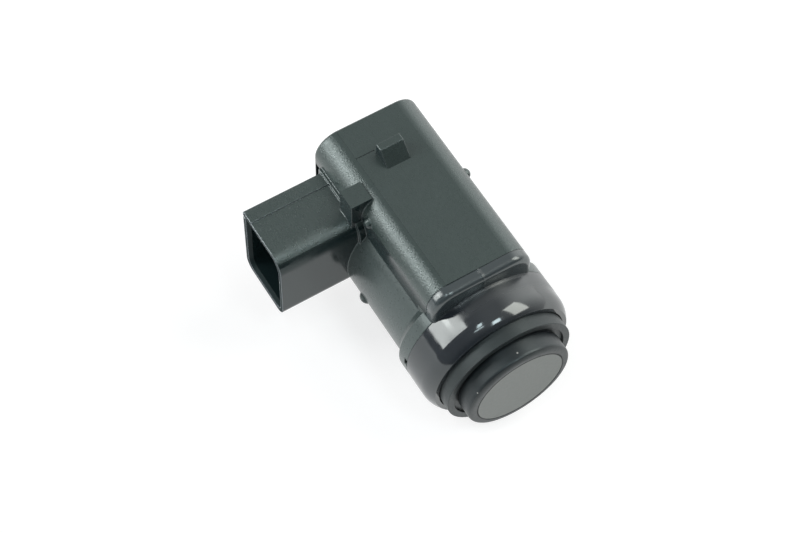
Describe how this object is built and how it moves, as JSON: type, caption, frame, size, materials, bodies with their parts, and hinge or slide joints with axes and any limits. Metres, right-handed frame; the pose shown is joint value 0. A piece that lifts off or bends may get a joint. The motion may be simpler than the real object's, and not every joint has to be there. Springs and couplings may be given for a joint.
{
  "type": "ultrasonic parking sensor",
  "caption": "Black ultrasonic bumper sensor: round grey face in a rubber sleeve, glossy collar, barrel under a flat-topped box, side connector shroud and latch ramp.",
  "frame": {"origin": "on the sensing axis, in the plane of the seal ring's front face, which bears on the inside of the bumper", "axes": "the sensing face looks towards -Y, the flat top and its latch ramp are at +Z, the connector opens towards -X"},
  "size_m": [0.0353, 0.0442, 0.0297],
  "materials": {
    "housing": "fine-grained moulded black, smoother on the barrel",
    "collar": "polished black",
    "seal": "satin black rubber",
    "sleeve": "satin black silicone",
    "membrane": "matte grey primer on aluminium",
    "piezo": "silvered ceramic",
    "felt": "pressed felt",
    "filler": "cast silicone",
    "inner_plastic": "moulded",
    "lead_red": "insulated wire",
    "lead_black": "insulated wire",
    "board": "green solder mask",
    "chip": "moulded package with tinned leads",
    "ferrite": "sintered ferrite",
    "bobbin": "moulded former",
    "copper": "enamelled copper wire",
    "can": "drawn can",
    "chip_ceramic": "fired ceramic",
    "chip_black": "glazed ceramic",
    "pins": "tinned brass",
    "potting": "cast potting"
  },
  "bodies": {
    "root": {"housing": "housing", "rear_cover": "housing", "front_collar": "collar", "seal_ring": "seal", "membrane_sleeve": "sleeve", "membrane_pot": "membrane", "piezo_disc": "piezo", "absorber_disc": "felt", "pot_filler": "filler", "contact_carrier": "inner_plastic", "terminal_carrier": "inner_plastic", "signal_lead": "lead_red", "ground_lead": "lead_black", "circuit_board": "board", "control_chip": "chip", "transformer_core": "ferrite", "transformer_bobbin": "bobbin", "transformer_winding": "copper", "storage_capacitor": "can", "tuning_capacitor": "chip_ceramic", "filter_capacitor": "chip_ceramic", "input_resistor": "chip_black", "damping_resistor": "chip_black", "protection_diode": "chip_black", "supply_pin": "pins", "bus_pin": "pins", "ground_pin": "pins", "potting_fill": "potting"}
  },
  "joints": []
}
